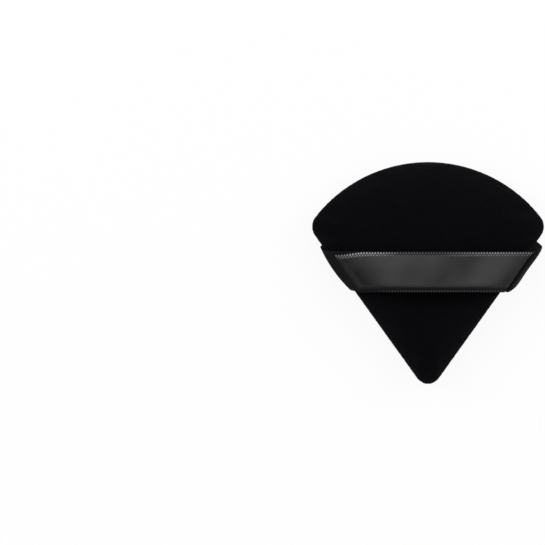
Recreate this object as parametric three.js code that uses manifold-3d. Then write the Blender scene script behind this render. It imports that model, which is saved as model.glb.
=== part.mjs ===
// A wedge-shaped velour powder puff: a foam core between two velour covers that are sewn together round the edge,
// with a satin ribbon across the front for the fingers. Millimetres, +Z up. It lies on its back cover, tip towards -Y.
import * as THREE from "three";
import { mergeVertices } from "three/addons/utils/BufferGeometryUtils.js";
import Module from "manifold-3d";

const wasm = await Module();
wasm.setup();

// Outline, seen from the front
const puffLength = 69.2; // from the tip to the middle of the round edge
const roundEdgeRadius = 44.6;
const sideAngle = THREE.MathUtils.degToRad(35.6); // from the centre line to each straight side
const cornerRadius = 5;
const tipRadius = 4.15;

// Section of the pad
const padThickness = 13;
const seamHeight = 6.2; // of the seam above the face that the puff lies on
const crownPower = 4; // a higher power gives a flatter face and a tighter rim
const frontFlat = 0.25; // share of the outline that is level on top
const backFlat = 0.7; // share of the outline that lies flat underneath

// Covers, and the edges that are turned in along the seam
const velourThickness = 1.1;
const allowanceWidth = 3.2;
const allowanceThickness = 0.7;
const seamGap = 0.3; // between the two covers
const clearance = 0.3; // between pieces that lie against each other

// Stitches
const threadDiameter = 0.4;
const needleClearance = 0.25; // round the thread in its holes
const stitchInset = 2; // of the machine seam from the edge
const stitchLength = 4.5;
const closingInset = 0.75; // of the hand-sewn stitches from the edge
const closingStitchLength = 2.4;
const closingLength = 18; // of the gap that the covers are turned out through
const closingFromTip = 7; // from the end of the tip's curve, up the right-hand side

// Ribbon
const ribbonWidth = 12.7;
const ribbonThickness = 0.4;
const ribbonY = 0.3; // of its centre line, from the middle of the puff's length
const fingerGap = 5.2; // under the middle of the ribbon
const leftFoldPast = -1.5; // past the left-hand edge, of the line where the ribbon starts to bend round it
const leftFoldHeight = 4.6; // of that line above the seam
const leftArchPower = 2.5; // a higher power gives a flatter middle and a steeper end
const leftFoldSoftness = 0.35; // 0 is a sharp crease
const leftBulge = 1.4; // of the left-hand bend past the edge
const rightFoldPast = 0.9;
const rightFoldHeight = 3.45;
const rightArchPower = 2.2;
const rightFoldSoftness = 0.1;
const rightBulge = 2.3;
const bulgeHeight = 1.2; // of each bend's widest point above the seam
const bulgeSoftness = 0.35; // 0 turns sharply there
const seamRun = 0.4; // straight out of the seam before the ribbon turns up
const ribbonTuck = 3; // of each end into the seam

// Faceting
const tipSteps = 6;
const cornerSteps = 4;
const roundEdgeSteps = 16;
const sideSteps = 6;
const rimSteps = 6;
const threadSides = 6;
const bendSteps = 6; // in each half of a ribbon's bend
const spanSteps = 9; // in each half of its arch
const leastRadius = 0.1; // of a corner that an inset has used up

const velour = new THREE.MeshStandardMaterial({ color: 0x0d0c0f, roughness: 1 });
const satin = new THREE.MeshStandardMaterial({ color: 0x3c3b3d, roughness: 0.45 });
const foam = new THREE.MeshStandardMaterial({ color: 0xe6e1d6, roughness: 1 });
const thread = new THREE.MeshStandardMaterial({ color: 0x111113, roughness: 0.8 });

// The arcs of the outline. Its middle is the origin, and it is alike on both sides of the Y axis.
const edgeTop = puffLength / 2;
const roundEdgeCentre = new THREE.Vector2(0, edgeTop - roundEdgeRadius);
const tipCentre = new THREE.Vector2(0, tipRadius - edgeTop);
const tipTurn = Math.PI - 2 * sideAngle;
const sideOut = new THREE.Vector2(Math.cos(sideAngle), -Math.sin(sideAngle)); // out of the right-hand side
const sideUp = new THREE.Vector2(Math.sin(sideAngle), Math.cos(sideAngle)); // along it, away from the tip
const sideDistance = tipCentre.dot(sideOut) + tipRadius; // of the right-hand side from the origin
const cornerCentre = findCornerCentre();
const cornerAngle = cornerCentre.clone().sub(roundEdgeCentre).angle();

// The crown is highest where the round edge and the two sides are equally far away.
const crownCentre = new THREE.Vector2(0, (edgeTop - sideDistance) / (1 + Math.sin(sideAngle)));

// The corner's circle touches the side, and the round edge from within.
function findCornerCentre() {
  const onSide = sideOut.clone().multiplyScalar(sideDistance - cornerRadius);
  const fromCentre = onSide.clone().sub(roundEdgeCentre);
  const along = fromCentre.dot(sideUp);
  const reach = roundEdgeRadius - cornerRadius;
  const run = Math.sqrt(along ** 2 - fromCentre.lengthSq() + reach ** 2) - along;
  return onSide.addScaledVector(sideUp, run);
}

// Points along an arc, both ends included.
function arcPoints(centre, radius, from, to, steps) {
  return new THREE.EllipseCurve(centre.x, centre.y, radius, radius, from, to).getPoints(steps);
}

// Points along a straight line, both ends left out.
function linePoints(from, to, steps) {
  return new THREE.LineCurve(from, to).getPoints(steps).slice(1, -1);
}

// The outline, drawn in by an inset all round. It starts at the left of the tip and runs anticlockwise.
function outline(inset) {
  const drawnIn = (radius) => Math.max(radius - inset, leastRadius);
  const leftCentre = new THREE.Vector2(-cornerCentre.x, cornerCentre.y);
  const tip = arcPoints(tipCentre, drawnIn(tipRadius), -sideAngle - tipTurn, -sideAngle, tipSteps);
  const right = arcPoints(cornerCentre, drawnIn(cornerRadius), -sideAngle, cornerAngle, cornerSteps);
  const round = arcPoints(
    roundEdgeCentre, drawnIn(roundEdgeRadius), cornerAngle, Math.PI - cornerAngle, roundEdgeSteps,
  );
  const left = arcPoints(
    leftCentre, drawnIn(cornerRadius), Math.PI - cornerAngle, Math.PI + sideAngle, cornerSteps,
  );
  return [
    ...tip,
    ...linePoints(tip.at(-1), right[0], sideSteps),
    ...right,
    ...round.slice(1, -1),
    ...left,
    ...linePoints(left.at(-1), tip[0], sideSteps),
  ];
}

// The inset outline at a height, shrunk towards the middle of the crown.
function ring(inset, share, z) {
  return outline(inset).map((p) => {
    const q = p.sub(crownCentre).multiplyScalar(share).add(crownCentre);
    return new THREE.Vector3(q.x, q.y, z);
  });
}

// A solid through rings of points, closed at both ends. Each ring runs anticlockwise, seen from the last one.
function loft(rings) {
  const count = rings[0].length;
  const points = rings.flat();
  const index = [];
  for (let start = 0; start < points.length - count; start += count) {
    for (let i = 0; i < count; i++) {
      const a = start + i;
      const b = start + ((i + 1) % count);
      index.push(a, b, a + count, b, b + count, a + count);
    }
  }
  const lastStart = points.length - count;
  const middle = (points) => points.reduce((sum, p) => sum.add(p), new THREE.Vector3()).divideScalar(count);
  points.push(middle(rings[0]), middle(rings.at(-1)));
  for (let i = 0; i < count; i++) {
    const next = (i + 1) % count;
    index.push(next, i, lastStart + count);
    index.push(lastStart + i, lastStart + next, lastStart + count + 1);
  }
  const merged = mergeVertices(new THREE.BufferGeometry().setFromPoints(points).setIndex(index));
  return new wasm.Manifold(
    new wasm.Mesh({ numProp: 3, vertProperties: merged.attributes.position.array, triVerts: merged.index.array }),
  );
}

// A crowned pad half that rises from its level base, which a skirt can carry on downwards.
function dome(inset, height, flat, skirt = 0) {
  const steepest = Math.acos(flat ** (crownPower / 2));
  const rings = skirt ? [ring(inset, 1, -skirt)] : [];
  for (let i = 0; i <= rimSteps; i++) {
    const angle = (steepest * i) / rimSteps;
    const share = Math.cos(angle) ** (2 / crownPower);
    rings.push(ring(inset, share, (height * Math.sin(angle)) / Math.sin(steepest)));
  }
  return loft(rings);
}

// A level band that follows the edge between two insets.
function edgeBand(outer, inner, low, high) {
  const past = high - low;
  const whole = loft([ring(outer, 1, low), ring(outer, 1, high)]);
  return whole.subtract(loft([ring(inner, 1, low - past), ring(inner, 1, high + past)]));
}

// One cover: a velour shell with its edge turned in along the seam. It opens downwards.
function cover(height, flat) {
  const outside = dome(0, height, flat);
  const inside = dome(velourThickness, height - velourThickness, flat, height);
  const turnedIn = edgeBand(velourThickness / 2, allowanceWidth, 0, allowanceThickness);
  return outside.subtract(inside).add(turnedIn).translate([0, 0, seamGap / 2]);
}

// Turns a solid over, about the line from the tip to the round edge.
function turnedOver(shape) {
  return shape.rotate([0, 180, 0]);
}

// The foam fills both covers, and is pressed in round the edge by the turned-in velour and its stitches.
function foamCore(stitchReach) {
  const inset = velourThickness + clearance;
  const front = dome(inset, padThickness - seamHeight - inset, frontFlat);
  const back = turnedOver(dome(inset, seamHeight - inset, backFlat));
  const pressed = stitchReach + clearance;
  return front.add(back).subtract(edgeBand(0, allowanceWidth + clearance, -pressed, pressed));
}

// The corners of a running stitch, which goes up and down through both edges from one distance round them to another.
function stitchCorners(inset, from, to, length, reach) {
  const edge = new THREE.Path(outline(inset)).closePath();
  const round = edge.getLength();
  const count = Math.max(2, Math.round((to - from) / length));
  return Array.from({ length: count + 1 }, (_, i) => {
    const at = (THREE.MathUtils.lerp(from, to, i / count) % round) / round;
    const { x, y } = edge.getPointAt(at);
    const way = edge.getTangentAt(at);
    const across = new THREE.Vector3(way.y, -way.x, 0);
    const start = reach * (-1) ** i;
    return [start, -start].map((z) => ({ point: new THREE.Vector3(x, y, z), across }));
  }).flat();
}

// A thread pulled straight between corners, with a mitre at each.
function threadThrough(corners, diameter) {
  const radius = diameter / 2;
  const way = (i) => corners[i + 1].point.clone().sub(corners[i].point).normalize();
  return loft(
    corners.map(({ point, across }, i) => {
      const before = way(Math.max(i - 1, 0)).cross(across);
      const after = way(Math.min(i, corners.length - 2)).cross(across);
      const mitre = before.clone().add(after).divideScalar(1 + before.dot(after));
      return Array.from({ length: threadSides }, (_, side) => {
        const angle = (2 * Math.PI * side) / threadSides;
        const out = point.clone().addScaledVector(across, radius * Math.cos(angle));
        return out.addScaledVector(mitre, radius * Math.sin(angle));
      });
    }),
  );
}

// A ribbon through cross lines, each with its two ends and the way its face looks.
function strip(lines, thickness) {
  return loft(
    lines.map(({ low, high, face }) => {
      const half = face.clone().multiplyScalar(thickness / 2);
      return [low.clone().sub(half), high.clone().sub(half), high.clone().add(half), low.clone().add(half)];
    }),
  );
}

const archTop = padThickness - seamHeight + fingerGap + ribbonThickness / 2; // of the ribbon above the seam
const sideAtRibbon = new THREE.Vector2(
  (sideDistance + ribbonY * Math.sin(sideAngle)) / Math.cos(sideAngle), ribbonY,
);

// The ribbon's two sides. The hand is 1 on the right and -1 on the left.
const leftSide = ribbonSide({
  hand: -1, foldPast: leftFoldPast, foldHeight: leftFoldHeight, archPower: leftArchPower,
  foldSoftness: leftFoldSoftness, bulge: leftBulge,
});
const rightSide = ribbonSide({
  hand: 1, foldPast: rightFoldPast, foldHeight: rightFoldHeight, archPower: rightArchPower,
  foldSoftness: rightFoldSoftness, bulge: rightBulge,
});

// One side of the ribbon, with where its arch ends, how far it has dropped, and how steep it is there.
function ribbonSide(side) {
  const spanPast = side.foldPast - clearance;
  const reach = sideAtRibbon.x + spanPast / Math.cos(sideAngle);
  const drop = archTop - side.foldHeight;
  return { ...side, spanPast, drop, endSlope: (side.archPower * drop) / reach };
}

// A line across the ribbon and along the side, so far past the edge, as it lies after so much of the ribbon.
function crossLine(hand, past, travelled, height, face) {
  const half = ribbonWidth / 2 / Math.cos(sideAngle);
  const climb = travelled * Math.tan(sideAngle); // the ribbon meets the side at a slant
  const end = (along) => {
    const p = sideAtRibbon.clone().addScaledVector(sideOut, past).addScaledVector(sideUp, along);
    return new THREE.Vector3(hand * p.x, p.y, height);
  };
  return {
    low: end(climb - half),
    high: end(climb + half),
    face: new THREE.Vector3(hand * face.x * sideOut.x, face.x * sideOut.y, face.y),
  };
}

// The bend of a ribbon end, seen along the edge: on from the arch, out to the bulge, and back level into the seam.
function bendProfile({ foldPast, foldHeight, foldSoftness, endSlope, bulge }) {
  const fold = new THREE.Vector2(foldPast, foldHeight);
  const widest = new THREE.Vector2(bulge, bulgeHeight);
  const reach = fold.distanceTo(widest);
  const onward = new THREE.Vector2(1, -endSlope / Math.cos(sideAngle)).setLength(reach * foldSoftness).add(fold);
  const above = new THREE.Vector2(bulge, bulgeHeight + reach * bulgeSoftness);
  const upper = new THREE.CubicBezierCurve(fold, onward, above, widest);
  const lower = new THREE.EllipseCurve(
    seamRun, bulgeHeight, bulge - seamRun, bulgeHeight, 0, -Math.PI / 2, true,
  );
  const tucked = new THREE.Vector2(-ribbonTuck, 0);
  return [...upper.getPoints(bendSteps), ...lower.getPoints(bendSteps).slice(1), tucked];
}

// One end of the ribbon, from the arch into the seam.
function ribbonEnd(side, thickness) {
  const points = bendProfile(side);
  let travelled = side.foldPast;
  const lines = points.map((p, i) => {
    const before = points[Math.max(i - 1, 0)];
    const after = points[Math.min(i + 1, points.length - 1)];
    const way = after.clone().sub(before).normalize();
    travelled += p.distanceTo(before);
    return crossLine(side.hand, p.x, travelled, p.y, new THREE.Vector2(-way.y, way.x));
  });
  return strip(side.hand > 0 ? lines : lines.reverse(), thickness);
}

// The largest body of a solid, without what a hole near its edge has cut off.
function largestBody(shape) {
  return shape.decompose().reduce((best, body) => (body.volume() > best.volume() ? body : best));
}

// The stretch between the two bends, which arches over the front cover.
function ribbonSpan() {
  const level = new THREE.Vector2(0, 1);
  const lines = [];
  for (let i = -spanSteps; i <= spanSteps; i++) {
    const { hand, spanPast, drop, archPower, endSlope } = i < 0 ? leftSide : rightSide;
    const share = Math.abs(i) / spanSteps; // from 0 in the middle to 1 at the end
    const end = crossLine(hand, spanPast, spanPast, 0, level);
    const height = archTop - drop * share ** archPower;
    const across = (y, to) => new THREE.Vector3(0, y, 0).lerp(to, share).setZ(height);
    lines.push({
      low: across(ribbonY - ribbonWidth / 2, end.low),
      high: across(ribbonY + ribbonWidth / 2, end.high),
      face: new THREE.Vector3(hand * endSlope * share ** (archPower - 1), 0, 1).normalize(),
    });
  }
  return strip(lines, ribbonThickness);
}

// A named mesh from a solid.
function piece(name, shape, material) {
  const { vertProperties, triVerts } = shape.getMesh();
  const geometry = new THREE.BufferGeometry();
  geometry.setAttribute("position", new THREE.BufferAttribute(vertProperties, 3));
  geometry.setIndex(new THREE.BufferAttribute(triVerts, 1));
  geometry.computeVertexNormals();
  const mesh = new THREE.Mesh(geometry, material);
  mesh.name = name;
  return mesh;
}

// Machine stitches run from one end of the turning gap all the way round to the other, and hand stitches across it.
const gapStart = (inset) => Math.max(tipRadius - inset, leastRadius) * tipTurn + closingFromTip;
const machineEdge = new THREE.Path(outline(stitchInset)).closePath().getLength();
const machineReach = seamGap / 2 + allowanceThickness + clearance + threadDiameter / 2;
const machineSeam = stitchCorners(
  stitchInset, gapStart(stitchInset) + closingLength, gapStart(stitchInset) + machineEdge, stitchLength, machineReach,
);
const closingReach = seamGap / 2 + velourThickness / 2;
const closingSeam = stitchCorners(
  closingInset, gapStart(closingInset), gapStart(closingInset) + closingLength, closingStitchLength, closingReach,
);

// What the covers make room for: the thread, and the ribbon's ends between the turned-in edges
const holeDiameter = threadDiameter + 2 * needleClearance;
const needleHoles = threadThrough(machineSeam, holeDiameter).add(threadThrough(closingSeam, holeDiameter));
const roomThickness = ribbonThickness + 2 * clearance;
const seamRoom = needleHoles
  .add(ribbonEnd(leftSide, roomThickness))
  .add(ribbonEnd(rightSide, roomThickness));
const sewnEnd = (side) => largestBody(ribbonEnd(side, ribbonThickness).subtract(needleHoles));
const frontCover = cover(padThickness - seamHeight - seamGap / 2, frontFlat).subtract(seamRoom);
const backCover = turnedOver(cover(seamHeight - seamGap / 2, backFlat)).subtract(seamRoom);

// Everything is measured from the seam, which the group lifts to its height above the face that the puff lies on.
const puff = new THREE.Group();
puff.position.z = seamHeight;
puff.add(
  piece("front_cover", frontCover, velour),
  piece("back_cover", backCover, velour),
  piece("foam_core", foamCore(machineReach + threadDiameter / 2), foam),
  piece("seam_thread", threadThrough(machineSeam, threadDiameter), thread),
  piece("closing_thread", threadThrough(closingSeam, threadDiameter), thread),
  piece("ribbon_span", ribbonSpan(), satin),
  piece("ribbon_end_left", sewnEnd(leftSide), satin),
  piece("ribbon_end_right", sewnEnd(rightSide), satin),
);

export default new THREE.Group().add(puff);
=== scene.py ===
import math

import bpy
import numpy as np
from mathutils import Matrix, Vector, noise


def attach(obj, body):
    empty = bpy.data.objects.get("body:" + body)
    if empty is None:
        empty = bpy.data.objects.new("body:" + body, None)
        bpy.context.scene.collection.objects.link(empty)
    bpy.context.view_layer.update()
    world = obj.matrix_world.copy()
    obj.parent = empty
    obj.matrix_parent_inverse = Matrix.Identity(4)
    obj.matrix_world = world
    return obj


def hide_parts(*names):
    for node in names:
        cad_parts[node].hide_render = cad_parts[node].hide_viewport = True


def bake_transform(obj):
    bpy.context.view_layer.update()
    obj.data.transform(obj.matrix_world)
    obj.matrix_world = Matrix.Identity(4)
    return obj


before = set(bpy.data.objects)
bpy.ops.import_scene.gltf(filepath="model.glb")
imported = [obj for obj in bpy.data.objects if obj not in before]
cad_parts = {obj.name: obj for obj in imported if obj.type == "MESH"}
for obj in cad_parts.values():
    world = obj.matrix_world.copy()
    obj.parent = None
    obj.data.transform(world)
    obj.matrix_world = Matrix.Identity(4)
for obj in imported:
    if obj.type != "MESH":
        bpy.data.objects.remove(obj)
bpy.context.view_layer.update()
scene = bpy.context.scene
mm = 0.001


# small helpers

def hexColour(text):
    # sRGB hex to the linear colour that the shaders want
    parts = [int(text[i:i + 2], 16) / 255 for i in (1, 3, 5)]
    return [part / 12.92 if part <= 0.04045 else ((part + 0.055) / 1.055) ** 2.4 for part in parts] + [1]


def pick(thing):
    # in object mode, with only this selected
    if bpy.context.object and bpy.context.object.mode != "OBJECT":
        bpy.ops.object.mode_set(mode="OBJECT")
    bpy.ops.object.select_all(action="DESELECT")
    thing.select_set(True)
    bpy.context.view_layer.objects.active = thing


def copyOf(thing, name):
    pick(thing)
    bpy.ops.object.duplicate()
    copy = bpy.context.object
    copy.name = name
    copy.data.name = name
    return copy


def editAll(thing):
    pick(thing)
    bpy.ops.object.mode_set(mode="EDIT")
    bpy.ops.mesh.select_all(action="SELECT")


def editWhere(thing, test):
    # into edit mode with only the vertices selected whose place passes the test
    pick(thing)
    bpy.ops.object.mode_set(mode="EDIT")
    bpy.ops.mesh.select_mode(type="VERT")
    bpy.ops.mesh.select_all(action="DESELECT")
    bpy.ops.object.mode_set(mode="OBJECT")
    for vertex in thing.data.vertices:
        vertex.select = test(vertex.co)
    bpy.ops.object.mode_set(mode="EDIT")


def modify(thing, kind, **settings):
    # add a modifier and apply it straight away
    pick(thing)
    modifier = thing.modifiers.new(kind.lower(), kind)
    for name, value in settings.items():
        setattr(modifier, name, value)
    bpy.ops.object.modifier_apply(modifier=modifier.name)


def dress(thing, material):
    pick(thing)
    bpy.ops.object.shade_smooth()
    thing.data.materials.clear()
    thing.data.materials.append(material)


def places(thing):
    flat = np.zeros(len(thing.data.vertices) * 3)
    thing.data.vertices.foreach_get("co", flat)
    return flat.reshape(-1, 3)


def setPlaces(thing, spots):
    thing.data.vertices.foreach_set("co", np.asarray(spots).ravel())
    thing.data.update()


def smoothShare(start, end, value):
    # eased from 0 at the start to 1 at the end, which may lie below it
    share = np.clip((value - start) / (end - start), 0, 1)
    return share * share * (3 - 2 * share)


def lengthSoFar(points):
    # along a line of points, at each of them
    return np.insert(np.cumsum(np.linalg.norm(np.diff(points, axis=0), axis=1)), 0, 0)


def addNode(tree, kind, settings=None, **inputs):
    # an input is named for its socket, or _2 for the third one
    node = tree.nodes.new(kind)
    for name, value in (settings or {}).items():
        setattr(node, name, value)
    for name, value in inputs.items():
        socket = node.inputs[int(name[1:]) if name[0] == "_" else name.replace("_", " ")]
        if isinstance(value, bpy.types.NodeSocket):
            tree.links.new(value, socket)
        else:
            socket.default_value = value
    return node


# outline of the puff, seen from the front: tip arc, straight side, corner arc, round edge
puff = {
    "length": 69.2 * mm,
    "roundRadius": 44.6 * mm,
    "sideAngle": math.radians(35.6),  # from the centre line to each straight side
    "cornerRadius": 5 * mm,
    "tipRadius": 4.15 * mm,
    "thickness": 13 * mm,
    "seamHeight": 6.2 * mm,
    "arcPoints": 90,
    "finePoints": 2000,  # round the whole outline, where a place on it is looked up
}
tilt = puff["sideAngle"]
edgeTop = puff["length"] / 2
seamHeight = puff["seamHeight"]
sideOut = np.array([math.cos(tilt), -math.sin(tilt)])  # out of the right-hand side
sideUp = np.array([math.sin(tilt), math.cos(tilt)])  # along it, away from the tip
tipCentre = np.array([0, puff["tipRadius"] - edgeTop])
roundCentre = np.array([0, edgeTop - puff["roundRadius"]])
sideDistance = tipCentre @ sideOut + puff["tipRadius"]
crownY = (edgeTop - sideDistance) / (1 + math.sin(tilt))  # equally far from all three edges
crown = Vector((0, crownY, 0))


def cornerCentre():
    # of the arc that touches the side, and the round edge from within
    onSide = sideOut * (sideDistance - puff["cornerRadius"])
    start = onSide - roundCentre
    along = start @ sideUp
    reach = puff["roundRadius"] - puff["cornerRadius"]
    return onSide + sideUp * (math.sqrt(along ** 2 - start @ start + reach ** 2) - along)


def outlinePoints(count):
    # evenly spaced points, anticlockwise from the tip, and the length all round
    corner = cornerCentre()
    toCorner = corner - roundCentre
    turn = math.atan2(toCorner[1], toCorner[0])
    arcs = [
        (tipCentre, puff["tipRadius"], -math.pi / 2, -tilt),
        (corner, puff["cornerRadius"], -tilt, turn),
        (roundCentre, puff["roundRadius"], turn, math.pi / 2),
    ]
    right = np.vstack([
        centre + radius * np.column_stack([np.cos(angles), np.sin(angles)])
        for centre, radius, start, end in arcs
        for angles in [np.linspace(start, end, puff["arcPoints"])]
    ])
    whole = np.vstack([right, right[::-1] * [-1, 1]])
    run = lengthSoFar(whole)
    at = np.linspace(0, run[-1], count, endpoint=False)
    return np.column_stack([np.interp(at, run, whole[:, i]) for i in (0, 1)]), run[-1]


# camera, straight above as in the photo, with the puff right of the middle of the frame
view = {"height": 4, "across": 169.9 * mm, "x": -48.47 * mm, "y": 0.16 * mm, "sensor": 36}
bpy.ops.object.camera_add(location=(view["x"], view["y"], view["height"]), rotation=(0, 0, 0))
camera = bpy.context.object
camera.data.sensor_width = view["sensor"]
camera.data.lens = view["sensor"] * (view["height"] - seamHeight) / view["across"]
scene.camera = camera
scene.view_settings.view_transform = "Standard"

# floor: white to the eye, with a share of real shading so that the puff's shadow stays
paperFloor = {"size": 40, "drop": 0.02 * mm, "white": 0.9}
bpy.ops.mesh.primitive_plane_add(size=paperFloor["size"], location=(0, 0, -paperFloor["drop"]))
floor = bpy.context.object
floor.name = "floor"
paper = bpy.data.materials.new("white studio paper")
paper.use_nodes = True
tree = paper.node_tree
tree.nodes.clear()
rays = addNode(tree, "ShaderNodeLightPath")
seen = addNode(tree, "ShaderNodeMath", {"operation": "MAXIMUM"}, _0=rays.outputs["Is Camera Ray"],
               _1=rays.outputs["Is Glossy Ray"])
seen = addNode(tree, "ShaderNodeMath", {"operation": "MAXIMUM"}, _0=seen.outputs[0],
               _1=rays.outputs["Is Transmission Ray"])
share = addNode(tree, "ShaderNodeMath", {"operation": "MULTIPLY"}, _0=seen.outputs[0], _1=paperFloor["white"])
shaded = addNode(tree, "ShaderNodeBsdfDiffuse", Color=hexColour("#fafafa"))
white = addNode(tree, "ShaderNodeEmission", Strength=1)
both = addNode(tree, "ShaderNodeMixShader", _0=share.outputs[0], _1=shaded.outputs[0], _2=white.outputs[0])
addNode(tree, "ShaderNodeOutputMaterial", Surface=both.outputs[0])
floor.data.materials.append(paper)

# light: a white ceiling that reaches lowest at the back, over dim walls, with a soft darker gap across it
# where the camera hangs, and a softbox on each side
room = {
    "ceiling": 1,
    "walls": 0.04,
    "slope": (0.06, 0.23, 1),  # the way that counts as up
    "wallTop": 0.05,
    "ceilingEdge": 0.72,
    "gap": 0.3,  # of the ceiling's strength
    "gapAcross": (0.58, -0.81, 0),
    "gapPlace": 0.17,
    "gapSize": 0.36,
    "softboxSize": 0.6,
    "softboxes": {"right": ((0.7, 0.35, 0.42), 3.4), "left": ((-0.7, 0.35, 0.42), 3)},  # place and watts
}
world = bpy.data.worlds.new("studio")
scene.world = world
world.use_nodes = True
tree = world.node_tree
look = addNode(tree, "ShaderNodeTexCoord").outputs["Generated"]  # for the world this is the way looked
height = addNode(tree, "ShaderNodeVectorMath", {"operation": "DOT_PRODUCT"}, _0=look, _1=room["slope"])
ceiling = addNode(tree, "ShaderNodeMapRange", {"interpolation_type": "SMOOTHSTEP"},
                  Value=height.outputs["Value"], From_Min=room["wallTop"], From_Max=room["ceilingEdge"],
                  To_Min=room["walls"], To_Max=room["ceiling"])
aside = addNode(tree, "ShaderNodeVectorMath", {"operation": "DOT_PRODUCT"}, _0=look, _1=room["gapAcross"])
aside = addNode(tree, "ShaderNodeMath", {"operation": "SUBTRACT"}, _0=aside.outputs["Value"],
                _1=room["gapPlace"])
aside = addNode(tree, "ShaderNodeMath", {"operation": "ABSOLUTE"}, _0=aside.outputs[0])
gap = addNode(tree, "ShaderNodeMapRange", {"interpolation_type": "SMOOTHSTEP"}, Value=aside.outputs[0],
              From_Max=room["gapSize"], To_Min=room["gap"])
level = addNode(tree, "ShaderNodeMath", {"operation": "MULTIPLY"}, _0=ceiling.outputs[0], _1=gap.outputs[0])
background = tree.nodes["Background"]
background.inputs["Color"].default_value = hexColour("#f7f8fa")
tree.links.new(level.outputs[0], background.inputs["Strength"])
for name, (place, watts) in room["softboxes"].items():
    bpy.ops.object.light_add(type="AREA", location=place)
    lamp = bpy.context.object
    lamp.name = "softbox " + name
    lamp.data.size = room["softboxSize"]
    lamp.data.energy = watts
    lamp.rotation_euler = (-Vector(place)).to_track_quat("-Z", "Y").to_euler()
    lamp.visible_camera = False
print("camera, floor and light are up")


# materials

def newMaterial(name):
    material = bpy.data.materials.new(name)
    material.use_nodes = True
    shader = material.node_tree.nodes["Principled BSDF"]
    return material, material.node_tree, shader


def join(tree, shader, **sockets):
    for name, socket in sockets.items():
        tree.links.new(socket, shader.inputs[name.replace("_", " ")])


def blendColours(tree, pattern, low, high):
    # a pattern seldom leaves the middle of its range, so that is spread over the two colours
    spread = addNode(tree, "ShaderNodeMapRange", Value=pattern, From_Min=0.3, From_Max=0.7)
    low, high = (hexColour(tone) if isinstance(tone, str) else tone for tone in (low, high))
    mixed = addNode(tree, "ShaderNodeMix", {"data_type": "RGBA"}, _0=spread.outputs[0], _6=low, _7=high)
    return mixed.outputs[2]


# black polyester velour, knitted with a cut pile: deep matte black, paler where the pile is seen from
# the side, with soft patches where it leans another way
velour, tree, shader = newMaterial("black polyester velour")
here = addNode(tree, "ShaderNodeTexCoord").outputs["Object"]
nap = addNode(tree, "ShaderNodeTexNoise", Vector=here, Scale=1 / (14 * mm), Detail=3)
# pile is finer than 0.6 mm, and is drawn coarse enough to show
fibre = addNode(tree, "ShaderNodeTexNoise", Vector=here, Scale=1 / (0.6 * mm), Detail=4, Roughness=0.7)
patches = blendColours(tree, nap.outputs[0], "#020103", "#050406")
specks = blendColours(tree, fibre.outputs[0], patches, "#09080b")
roughness = addNode(tree, "ShaderNodeMapRange", Value=fibre.outputs[0], To_Min=0.85, To_Max=1)
bump = addNode(tree, "ShaderNodeBump", Height=fibre.outputs[0], Strength=0.5, Distance=0.25 * mm)
join(tree, shader, Base_Color=specks, Roughness=roughness.outputs[0], Normal=bump.outputs[0])
shader.inputs["Specular IOR Level"].default_value = 0.02
shader.inputs["Sheen Weight"].default_value = 0.14
shader.inputs["Sheen Roughness"].default_value = 0.45
shader.inputs["Sheen Tint"].default_value = hexColour("#d6d6de")

# black polyester satin, woven: a soft long gloss over lengthwise threads, slightly mottled; painted shade
# makes it near black and dull where it bends, in the crease and past it, and along its woven edges, whose
# loops carry a painted highlight
satin, tree, shader = newMaterial("black polyester satin")
weave = addNode(tree, "ShaderNodeUVMap", {"uv_map": "weave"}).outputs[0]  # metres along and across
threadWay = addNode(tree, "ShaderNodeMapping", Vector=weave, Scale=(0.08, 1, 1)).outputs[0]
# warp threads are about 0.1 mm, and are drawn coarse enough to show
threads = addNode(tree, "ShaderNodeTexNoise", Vector=threadWay, Scale=1 / (0.3 * mm), Detail=3, Roughness=0.6)
mottle = addNode(tree, "ShaderNodeTexNoise", Vector=weave, Scale=1 / (5 * mm), Detail=4, Roughness=0.6)
# dull-and-shade share: painted shade at the bends, crease, strip and woven edges, and the real dull back
# where it turns into the seam
dullAndShade = addNode(tree, "ShaderNodeAttribute", {"attribute_name": "dullAndShade"}).outputs["Fac"]
# the loops share is a painted highlight on the loops along the woven edges
loops = addNode(tree, "ShaderNodeAttribute", {"attribute_name": "loops"}).outputs["Fac"]
face = blendColours(tree, mottle.outputs[0], "#020202", "#19191a")
face = blendColours(tree, threads.outputs[0], face, "#131314")
# painted shade turns the satin near black where the dull-and-shade share is high, and a painted highlight
# turns the loops pale grey
for share, tone in ((dullAndShade, "#060607"), (loops, "#b8b7bc")):
    mixed = addNode(tree, "ShaderNodeMix", {"data_type": "RGBA"}, _0=share, _6=face, _7=hexColour(tone))
    face = mixed.outputs[2]
roughness = addNode(tree, "ShaderNodeMapRange", Value=mottle.outputs[0], To_Min=0.22, To_Max=0.34)
# the same painted shade is also rougher and less glossy
roughness = addNode(tree, "ShaderNodeMix", _0=dullAndShade, _2=roughness.outputs[0], _3=0.75)
gloss = addNode(tree, "ShaderNodeMix", _0=dullAndShade, _2=0.7, _3=0.2)
bump = addNode(tree, "ShaderNodeBump", Height=threads.outputs[0], Strength=0.25, Distance=0.05 * mm)
threadLine = addNode(tree, "ShaderNodeTangent", {"direction_type": "UV_MAP", "uv_map": "weave"})
join(tree, shader, Base_Color=face, Roughness=roughness.outputs[0], Specular_IOR_Level=gloss.outputs[0],
     Normal=bump.outputs[0], Tangent=threadLine.outputs[0])
shader.inputs["Anisotropic"].default_value = 0.5

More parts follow.
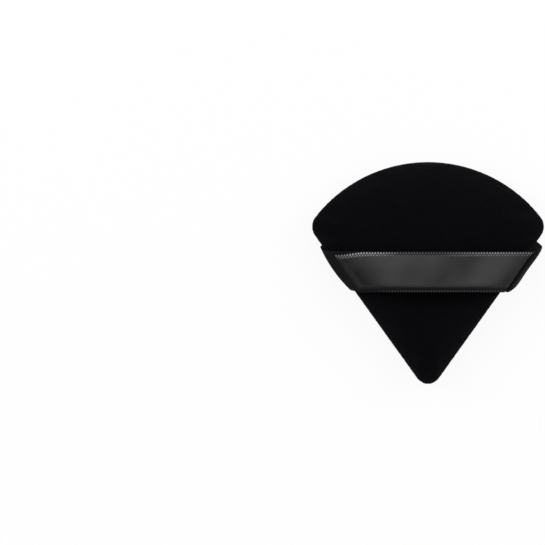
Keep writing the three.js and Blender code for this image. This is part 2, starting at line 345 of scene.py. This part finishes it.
# polyurethane foam, cut from a block: pale, dull and full of small open cells
foam, tree, shader = newMaterial("open-cell polyurethane foam")
here = addNode(tree, "ShaderNodeTexCoord").outputs["Object"]
cells = addNode(tree, "ShaderNodeTexVoronoi", Vector=here, Scale=1 / (0.9 * mm))
tone = blendColours(tree, cells.outputs["Distance"], "#b9b3a6", "#ece7dc")
bump = addNode(tree, "ShaderNodeBump", Height=cells.outputs["Distance"], Strength=0.8, Distance=0.3 * mm)
roughness = addNode(tree, "ShaderNodeMapRange", Value=cells.outputs["Distance"], To_Min=0.8, To_Max=0.95)
join(tree, shader, Base_Color=tone, Normal=bump.outputs[0], Roughness=roughness.outputs[0])

# black polyester thread, twisted: a dull gloss broken by its turns, which are about 0.3 mm apart
thread, tree, shader = newMaterial("black polyester thread")
here = addNode(tree, "ShaderNodeTexCoord").outputs["Object"]
twist = addNode(tree, "ShaderNodeTexWave", {"bands_direction": "DIAGONAL"}, Vector=here,
                Scale=0.3 / (0.3 * mm), Distortion=1)  # a wave repeats about every 0.3 of its scale
tone = blendColours(tree, twist.outputs["Fac"], "#0b0b0d", "#1a1a1d")
bump = addNode(tree, "ShaderNodeBump", Height=twist.outputs["Fac"], Strength=0.6, Distance=0.06 * mm)
roughness = addNode(tree, "ShaderNodeMapRange", Value=twist.outputs["Fac"], To_Min=0.5, To_Max=0.7)
join(tree, shader, Base_Color=tone, Normal=bump.outputs[0], Roughness=roughness.outputs[0])
print("materials are mixed")

# the pad, as one closed blank that is blown up like the sewn covers round their foam
pad = {
    "rimPoints": 200,
    "rings": 8,
    "crownPower": 4,  # higher is flatter on top and tighter at the rim
    "frontFlat": 0.25,  # share of the outline that is level
    "backFlat": 0.7,
    "startHeight": 0.885,  # of the full height, before it swells
    "cell": 1.36 * mm,
    "scale": 8,  # the cloth behaves better at the size of a seat cushion
    "pressure": 4,
    "frames": 20,
    "mostSwell": 0.9 * mm,
    "seamHold": 0.9 * mm,  # vertices this near the seam are held by it
    "slack": 0.15,  # of that hold, halfway between stitches
    "stitchLength": 4.5 * mm,
}
onSeam = 0.01 * mm  # nearer than this counts as on the seam
tiny = 1e-9  # so that nothing is divided by nought
rim = outlinePoints(pad["rimPoints"])[0]
bpy.ops.mesh.primitive_circle_add(vertices=pad["rimPoints"], radius=edgeTop)
blank = bpy.context.object
blank.name = "pad_blank"
setPlaces(blank, np.column_stack([rim, np.full(len(rim), seamHeight)]))
halves = [(1, puff["thickness"] - seamHeight, pad["frontFlat"]), (-1, seamHeight, pad["backFlat"])]
for way, height, flat in halves:
    editWhere(blank, lambda place: abs(place.z - seamHeight) < onSeam)
    steepest = math.acos(flat ** (pad["crownPower"] / 2))
    lastShare, lastRise = 1, 0
    for ring in range(1, pad["rings"] + 1):
        angle = steepest * ring / pad["rings"]
        share = math.cos(angle) ** (2 / pad["crownPower"])
        rise = height * pad["startHeight"] * math.sin(angle) / math.sin(steepest)
        bpy.ops.mesh.extrude_region_move(TRANSFORM_OT_translate={"value": (0, 0, way * (rise - lastRise))})
        bpy.ops.transform.resize(value=(share / lastShare, share / lastShare, 1), center_override=crown)
        lastShare, lastRise = share, rise
    bpy.ops.mesh.edge_face_add()
bpy.ops.mesh.select_all(action="SELECT")
bpy.ops.mesh.normals_make_consistent(inside=False)
pick(blank)
blank.data.remesh_voxel_size = pad["cell"]
bpy.ops.object.voxel_remesh()
modify(blank, "SMOOTH", factor=0.5, iterations=3)
print("pad blank:", len(blank.data.vertices), "points")

before = places(blank)
near, rimLength = outlinePoints(puff["finePoints"])
hold = blank.vertex_groups.new(name="seam")
for i, (x, y, z) in enumerate(before):
    if abs(z - seamHeight) < pad["seamHold"]:
        at = np.argmin((near[:, 0] - x) ** 2 + (near[:, 1] - y) ** 2) / len(near) * rimLength
        looseness = math.sin(math.pi * at / pad["stitchLength"]) ** 2  # 1 halfway between stitches
        hold.add([i], 1 - pad["slack"] * looseness, "REPLACE")
setPlaces(blank, before * pad["scale"])
cloth = blank.modifiers.new("cloth", "CLOTH")
cloth.settings.quality = 6
cloth.settings.use_pressure = True
cloth.settings.uniform_pressure_force = pad["pressure"]
cloth.settings.vertex_group_mass = "seam"
cloth.settings.effector_weights.gravity = 0
cloth.collision_settings.use_collision = False
cloth.point_cache.frame_end = pad["frames"]
for step in range(1, pad["frames"] + 1):
    scene.frame_set(step)
pick(blank)
bpy.ops.object.modifier_apply(modifier="cloth")
swell = places(blank) / pad["scale"] - before
far = np.linalg.norm(swell, axis=1, keepdims=True)
print("pad swelled by up to", round(far.max() / mm, 2), "mm, middle", round(np.median(far) / mm, 2), "mm")
swell *= np.minimum(1, pad["mostSwell"] / np.maximum(far, tiny))
settled = before + swell
settled[:, 2] = np.maximum(settled[:, 2], 0)  # flat where it lies
setPlaces(blank, settled)
scene.frame_set(1)


def letOut(thing, sectors, rimPower):
    # the remesh and smoothing draw the rim in, so let it out to the outline again, the rim most
    fullTurn = 2 * math.pi
    spots = places(thing)
    wanted = outlinePoints(puff["finePoints"])[0] - [0, crownY]
    wantedTurns = np.arctan2(wanted[:, 1], wanted[:, 0])
    fromCentre = spots[:, :2] - [0, crownY]
    turns = np.arctan2(fromCentre[:, 1], fromCentre[:, 0])
    outer = np.interp(turns, wantedTurns, np.linalg.norm(wanted, axis=1), period=fullTurn)
    share = np.linalg.norm(fromCentre, axis=1) / outer
    widest = np.zeros(sectors)  # share reached in each sector
    np.maximum.at(widest, ((turns / fullTurn + 0.5) * sectors).astype(int) % sectors, share)
    sectorTurns = ((np.arange(sectors) + 0.5) / sectors - 0.5) * fullTurn
    drawnIn = np.interp(turns, sectorTurns, widest, period=fullTurn)
    spots[:, :2] += fromCentre * ((1 / drawnIn - 1) * (share / drawnIn) ** rimPower)[:, None]
    setPlaces(thing, spots)


letOut(blank, sectors=100, rimPower=1)
modify(blank, "SMOOTH", factor=0.5, iterations=5)
spots = places(blank)
print("pad size in mm:", (np.ptp(spots, axis=0) / mm).round(2), "top", round(spots[:, 2].max() / mm, 2))

# covers: each half of the pad as a velour shell, its edge turned in along the seam
cover = {
    "halfGap": 0.03 * mm,
    "thickness": 0.9 * mm,
    "roll": 0.012,  # share of the outline that the edge rolls in by, and that the rest is turned in by
    "turnIn": 0.05,
    "turnInRise": 0.02 * mm,
    "edgeCrease": 0.5,
    "napSize": 6 * mm,
    "napHeight": 0.12 * mm,
    "pileSize": 0.5 * mm,
    "pileHeight": 0.11 * mm,
}
napTexture = bpy.data.textures.new("nap", "CLOUDS")
napTexture.noise_scale = cover["napSize"]
pileTexture = bpy.data.textures.new("pile", "CLOUDS")
pileTexture.noise_scale = cover["pileSize"]
pileTexture.noise_depth = 0
covers = {}
for name, way in (("front_velour", 1), ("back_velour", -1)):
    half = copyOf(blank, name)
    half.vertex_groups.clear()
    editAll(half)
    cut = (0, 0, seamHeight + way * cover["halfGap"])
    bpy.ops.mesh.bisect(plane_co=cut, plane_no=(0, 0, way), clear_inner=True)  # leaves the cut edge selected
    bpy.ops.transform.resize(value=(1 - cover["roll"], 1 - cover["roll"], 1), center_override=crown)
    bpy.ops.transform.edge_crease(value=cover["edgeCrease"])
    bpy.ops.mesh.extrude_region_move(TRANSFORM_OT_translate={"value": (0, 0, way * cover["turnInRise"])})
    bpy.ops.transform.resize(value=(1 - cover["turnIn"], 1 - cover["turnIn"], 1), center_override=crown)
    bpy.ops.mesh.select_all(action="SELECT")
    bpy.ops.mesh.normals_make_consistent(inside=False)
    pick(half)
    half.vertex_groups.new(name="inner")
    modify(half, "SOLIDIFY", thickness=cover["thickness"], offset=-1, shell_vertex_group="inner")
    modify(half, "SUBSURF", levels=2, render_levels=2)
    for texture, strength in ((napTexture, cover["napHeight"]), (pileTexture, cover["pileHeight"])):
        modify(half, "DISPLACE", texture=texture, strength=strength, vertex_group="inner",
               invert_vertex_group=True)
    letOut(half, sectors=300, rimPower=5)
    spots = places(half)
    spots[:, 2] = np.maximum(spots[:, 2], 0)
    setPlaces(half, spots)
    dress(half, velour)
    covers[name] = half
    print(name, len(half.data.polygons), "faces")

# foam, which fills the covers and is nipped in along the seam
foamPad = {"inset": 1.5 * mm, "nip": 2.6 * mm, "nipHeight": 2 * mm}
filling = copyOf(blank, "foam_pad")
filling.vertex_groups.clear()
editAll(filling)
bpy.ops.transform.shrink_fatten(value=-foamPad["inset"])
pick(filling)
spots = places(filling)
toward = np.array([0, crownY]) - spots[:, :2]
toward /= np.maximum(np.linalg.norm(toward, axis=1, keepdims=True), tiny)
nearSeam = np.clip(1 - np.abs(spots[:, 2] - seamHeight) / foamPad["nipHeight"], 0, 1)
nipped = foamPad["nip"] * np.minimum(1, 2 * nearSeam)  # in full for half that height
spots[:, :2] += toward * nipped[:, None]
setPlaces(filling, spots)
modify(filling, "SUBSURF", levels=1, render_levels=1)
dress(filling, foam)
bpy.data.objects.remove(blank)
print("foam_pad", len(filling.data.polygons), "faces")

# ribbon: one strip of satin from seam to seam, arched for the fingers, its ends bent round the edge
ribbon = {
    "width": 12.7 * mm,
    "thickness": 0.26 * mm,
    "middleY": 0.3 * mm,
    "archTop": 18.5 * mm,
    "crown": 0.3 * mm,  # across its width
    "bulgeHeight": 7 * mm,
    "seamRun": 0.4 * mm,
    "tuck": 3 * mm,
    "tuckClimb": 0.1,  # how much of its slant is left where it turns in to the seam
    "tuckRound": 1.3 * mm,
    "lengthCuts": 560,
    "widthCuts": 80,
    "bendSteps": 40,
    "waviness": 0.18 * mm,
    "waveSize": 7 * mm,
    "stepFade": 12 * mm,  # of the step along each edge, before the folds
    "loopPitch": 0.87 * mm,
    "loopHeight": 0.28 * mm,
    "loopSize": 0.2 * mm,
    "glintGround": 0.35,  # how strong a loop's painted highlight is halfway down its side
    "loopFade": 0.3 * mm,  # on both sides of the folds, past which the loops aren't seen
    "loopDroop": 0.9 * mm,  # of the upper loops and their painted highlight towards the left-hand fold, where it paints a highlight on the edge rolling away
    "droopStart": 8 * mm,
    "creaseDepth": 1.2 * mm,  # at the fold of the right-hand end
    "creaseInner": 0.42 * mm,  # its width towards the face, where it is softer
    "creaseOuter": 0.2 * mm,
    "creaseFade": 1.5 * mm,  # towards the woven edges
    # painted shade in the crease, on the strip past it and at the left-hand bend
    "creaseShade": 0.5,
    "creaseShadeSize": 0.9 * mm,  # of the painted shade in the crease, around a line this far inside it
    "stripShade": 3 * mm,  # painted shade past the crease, and twice as far at the top
    "bendShadeStart": -2.2 * mm,  # painted shade from the left-hand fold
    "bendShadeEnd": 1 * mm,
    # the left end bends softly, and the right end has more slack, a crease and its lower corner pulled up
    "leftEnd": {
        "fold": -1.5 * mm, "foldHeight": 10.8 * mm, "archPower": 2.3, "sharpness": 3.5,
        "bulge": 1.65 * mm, "bulgeLean": -0.1 * mm,
        "roundTop": 0.75 * mm, "roundBottom": 0.75 * mm, "roundPower": 2, "pull": 0,
    },
    "rightEnd": {
        "fold": 1.5 * mm, "foldHeight": 10.4 * mm, "archPower": 2.3, "sharpness": 4,
        "bulge": 2.92 * mm, "bulgeLean": -0.15 * mm,
        "roundTop": 0.5 * mm, "roundBottom": 0.85 * mm, "roundPower": 8, "pull": 0.65 * mm,
    },
    # each woven edge has rows of loops, with how far in each row is and how strong its painted highlight is,
    # places along it in mm with how strong the painted highlight of the loops is there, a dull border of
    # painted shade, and a step down to that
    "upperEdge": {
        "rows": ((0.5 * mm, 0.75), (1.1 * mm, 0.35)),
        "places": (-26, -22, -17, -9, 4, 21, 31), "glint": (1, 2.3, 2.1, 0.5, 0.35, 1.45, 1.1),
        "dullShadeStart": 1 * mm, "dullShadeEnd": 1.5 * mm,
        "step": 0.12 * mm, "stepStart": 0.95 * mm, "stepEnd": 1.35 * mm,
    },
    "lowerEdge": {
        "rows": ((0.35 * mm, 0.15),),
        "places": (-17, -11), "glint": (0, 1),
        "dullShadeStart": 0.6 * mm, "dullShadeEnd": 3 * mm,
        "step": 0.6 * mm, "stepStart": 0.5 * mm, "stepEnd": 1.8 * mm,
    },
}
halfWidth = ribbon["width"] / 2
sideX = (sideDistance + ribbon["middleY"] * math.sin(tilt)) / math.cos(tilt)
sideAtRibbon = np.array([sideX, ribbon["middleY"]])


def bendProfile(end, reach, across):
    # seen along the edge: distance past it and height, the length run so far, and where it is widest
    rounding = end["roundTop"] if across > 0 else end["roundBottom"]
    bulge = end["bulge"] + end["bulgeLean"] * across - rounding * abs(across) ** end["roundPower"]
    fold = np.array([end["fold"], end["foldHeight"]])
    widest = np.array([bulge, ribbon["bulgeHeight"]])
    slope = end["archPower"] * (ribbon["archTop"] - end["foldHeight"]) / reach / math.cos(tilt)
    bend = np.array([bulge, end["foldHeight"] - slope * (bulge - end["fold"])])
    share = np.linspace(0, 1, ribbon["bendSteps"])[:, None]
    leaving = 1 - (1 - share) ** end["sharpness"]
    upper = fold + (bend - fold) * leaving + (widest - bend) * share ** end["sharpness"]
    turn = np.linspace(0, math.pi / 2, ribbon["bendSteps"])[1:, None]
    corner = np.array([ribbon["seamRun"], ribbon["bulgeHeight"]])
    lower = corner + (widest - [ribbon["seamRun"], seamHeight]) * np.hstack([np.cos(turn), -np.sin(turn)])
    points = np.vstack([upper, lower, [[-ribbon["tuck"], seamHeight]]])
    run = lengthSoFar(points)
    return points, run, run[len(upper) - 1]


bpy.ops.mesh.primitive_grid_add(size=2, x_subdivisions=ribbon["lengthCuts"],
                                y_subdivisions=ribbon["widthCuts"])  # from -1 to 1 both ways
strip = bpy.context.object
strip.name = "satin_ribbon"
strip.data.name = "satin_ribbon"
flats = []  # place on the flat ribbon
laid = []  # place when laid over the puff
pastFold = []  # length run past the fold, and 1 where the ribbon is loose to 0 in the seam
profiles = {}
for along, across, _ in places(strip):
    across *= 1.5 - 0.5 * across ** 2  # closer together towards the woven edges
    hand = 1 if along > 0 else -1
    end = ribbon["rightEnd" if hand > 0 else "leftEnd"]
    offset = across * halfWidth
    # to the fold, which slants with the side
    reach = sideX + end["fold"] / math.cos(tilt) + offset * math.tan(tilt)
    row = (hand, round(across, 4))
    if row not in profiles:
        profiles[row] = bendProfile(end, reach, across)
    points, run, atWidest = profiles[row]
    flat = abs(along) * (reach + run[-1] / math.cos(tilt))
    past = (flat - reach) * math.cos(tilt)
    if flat <= reach:
        share = flat / reach
        drop = (ribbon["archTop"] - end["foldHeight"]) * share ** end["archPower"]
        drop += ribbon["crown"] * across ** 2 * (1 - share ** 2)
        spot = (hand * flat, ribbon["middleY"] + offset, ribbon["archTop"] - drop)
    else:
        out, height = (np.interp(past, run, points[:, i]) for i in (0, 1))
        turnedIn = np.clip((past - atWidest) / ribbon["tuckRound"] + 1, 0, 2) ** 2 * ribbon["tuckRound"] / 4
        turnedIn += max(0, past - atWidest - ribbon["tuckRound"])
        slanted = past - turnedIn * (1 - ribbon["tuckClimb"]) + end["fold"]
        climb = slanted * math.tan(tilt) + offset / math.cos(tilt)
        climb += end["pull"] * max(0, -across) ** 3 * smoothShare(0, atWidest, past)  # of the lower corner
        place = sideAtRibbon + out * sideOut + climb * sideUp
        spot = (hand * place[0], place[1], height)
    flats.append((hand * flat, offset))
    laid.append(spot)
    pastFold.append((past, smoothShare(run[-2], atWidest, past)))
setPlaces(strip, laid)

# relief of the satin: waves, the step and loops along its edges, and the crease at its right-hand fold; with
# it the painted highlight on the loops and the painted shade of the dull-and-shade share
raised = []
loopGlintShare = strip.data.attributes.new("loops", "FLOAT", "POINT")
dullAndShadeShare = strip.data.attributes.new("dullAndShade", "FLOAT", "POINT")
for vertex, (along, across), (past, loose) in zip(strip.data.vertices, flats, pastFold):
    fromEdge = halfWidth - abs(across)
    edge = ribbon["upperEdge" if across > 0 else "lowerEdge"]
    shown = smoothShare(ribbon["loopFade"], -ribbon["loopFade"], past)
    droop = 0
    if along < 0 < across:
        droop = ribbon["loopDroop"] * smoothShare(-ribbon["droopStart"], 0, past)
    # painted highlight: each loop is palest at its top, and the loops are palest near both ends of the
    # ribbon's face
    loop, loopGlint = 0, 0
    for row, (inset, glint) in enumerate(edge["rows"]):
        beat = math.cos(2 * math.pi * (along / ribbon["loopPitch"] + row / 2))  # rows are half a loop apart
        inRow = math.exp(-((fromEdge - inset - droop) / ribbon["loopSize"]) ** 2) * shown
        loop += beat * inRow
        loopGlint += max(0, ribbon["glintGround"] + (1 - ribbon["glintGround"]) * beat) * inRow * glint
    stepped = smoothShare(edge["stepEnd"], edge["stepStart"], fromEdge)
    stepped *= smoothShare(0, -ribbon["stepFade"], past)
    lift = ribbon["waviness"] * noise.noise(Vector((along, across, 0)) / ribbon["waveSize"])
    lift += loop * ribbon["loopHeight"] / 2 - edge["step"] * stepped
    # painted shade along the woven edges, in full nearest them
    dullAndShade = smoothShare(edge["dullShadeEnd"], edge["dullShadeStart"], fromEdge)
    if along > 0:
        shallow = smoothShare(-ribbon["creaseFade"], ribbon["creaseFade"], fromEdge)
        size = ribbon["creaseInner"] if past < 0 else ribbon["creaseOuter"]
        lift -= ribbon["creaseDepth"] * math.exp(-(past / size) ** 2) * shallow
        # painted shade in the crease, around a line just inside it, and on the strip past the crease
        dullAndShade = max(dullAndShade, ribbon["creaseShade"] * math.exp(-(past / ribbon["creaseShadeSize"] + 1) ** 2))
        if past > 0:
            stripEnd = ribbon["stripShade"] * (1 + max(0, across) / halfWidth)
            dullAndShade = max(dullAndShade, smoothShare(stripEnd, 0, past))
    else:
        # painted shade at the left-hand bend, from just before the fold
        dullAndShade = max(dullAndShade, smoothShare(ribbon["bendShadeStart"], ribbon["bendShadeEnd"], past))
    dullAndShade = max(dullAndShade, 1 - loose ** 3)  # it shows its back where it turns in
    raised.append(vertex.co + vertex.normal * lift * loose)  # pressed flat in the seam
    loopGlintShare.data[vertex.index].value = loopGlint * np.interp(along / mm, edge["places"], edge["glint"])
    dullAndShadeShare.data[vertex.index].value = dullAndShade
setPlaces(strip, raised)
layer = strip.data.uv_layers[0]
layer.name = "weave"
for corner in strip.data.loops:
    layer.data[corner.index].uv = flats[corner.vertex_index]
modify(strip, "SOLIDIFY", thickness=ribbon["thickness"], offset=-1)
dress(strip, satin)

# the seam gapes where the ribbon goes in
mouth = {
    "front_velour": 0.32 * mm,  # how far each cover's edge is lifted
    "back_velour": -0.06 * mm,
    "height": 1.2 * mm,
    "depth": 4 * mm,
    "taper": 1.2 * mm,
}
for hand in (1, -1):
    spots = places(strip) * [hand, 1, 1]
    tucked = spots[(spots[:, 0] > 0) & (np.abs(spots[:, 2] - seamHeight) < ribbon["thickness"])]
    span = (tucked[:, :2] - sideAtRibbon) @ sideUp
    for name, half in covers.items():
        spots = places(half)
        fromSide = spots[:, :2] * [hand, 1] - sideAtRibbon
        up = fromSide @ sideUp
        gape = smoothShare(span.min() - mouth["taper"], span.min(), up)
        gape *= smoothShare(span.max() + mouth["taper"], span.max(), up)
        gape *= smoothShare(mouth["height"], 0, np.abs(spots[:, 2] - seamHeight))
        gape *= (fromSide @ sideOut > -mouth["depth"]) & (spots[:, 0] * hand > 0)
        spots[:, 2] += mouth[name] * gape
        setPlaces(half, spots)
print("seam opened round the ribbon's ends")

# hand stitches that close the gap low on the right-hand side
stitch = {
    "diameter": 0.28 * mm,
    "pitch": 2.4 * mm,
    "count": 8,
    "fromTip": 7 * mm,
    "bite": 0.6 * mm,
    "slant": 0.9 * mm,
    "path": ((-1.4, 1.1), (-0.4, 0.8), (-0.25, 0), (-0.4, -0.8), (-1.4, -1.1)),  # out and up, in bites
}
sideStart = tipCentre + sideOut * puff["tipRadius"]
stitches = []
for i in range(stitch["count"]):
    at = stitch["fromTip"] + (i + 0.5) * stitch["pitch"]
    curve = bpy.data.curves.new("stitch", "CURVE")
    curve.dimensions = "3D"
    curve.bevel_depth = stitch["diameter"] / 2
    curve.bevel_resolution = 2
    spline = curve.splines.new("BEZIER")
    spline.bezier_points.add(len(stitch["path"]) - 1)
    for point, (out, rise) in zip(spline.bezier_points, stitch["path"]):
        place = sideStart + sideUp * (at + rise * stitch["slant"] / 2) + sideOut * out * stitch["bite"]
        point.co = (*place, seamHeight + rise * stitch["bite"])
        point.handle_left_type = point.handle_right_type = "AUTO"
    one = bpy.data.objects.new("stitch", curve)
    scene.collection.objects.link(one)
    stitches.append(one)
pick(stitches[0])
for one in stitches:
    one.select_set(True)
bpy.ops.object.convert(target="MESH")
bpy.ops.object.join()
closing = bpy.context.object
closing.name = "closing_stitches"
closing.data.name = "closing_stitches"
editAll(closing)
bpy.ops.mesh.fill_holes(sides=0)
bpy.ops.mesh.normals_make_consistent(inside=False)
dress(closing, thread)
print("closing_stitches", len(closing.data.polygons), "faces")

# what each piece stands for, what carries it, and what it is made of
onPuff = (
    (covers["front_velour"], "front_cover", "velour"),
    (covers["back_velour"], "back_cover", "velour"),
    (filling, "foam_core", "foam"),
    (closing, "closing_thread", "thread"),
)
for piece, node, slot in onPuff:
    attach(piece, "puff")
    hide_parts(node)
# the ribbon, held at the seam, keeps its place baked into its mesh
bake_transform(strip)
for node in ("ribbon_span", "ribbon_end_left", "ribbon_end_right"):
    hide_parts(node)
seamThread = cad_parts["seam_thread"]  # hidden in the seam, so it stays as it is
seamThread.data.materials.clear()
seamThread.data.materials.append(thread)

print("scene is ready")
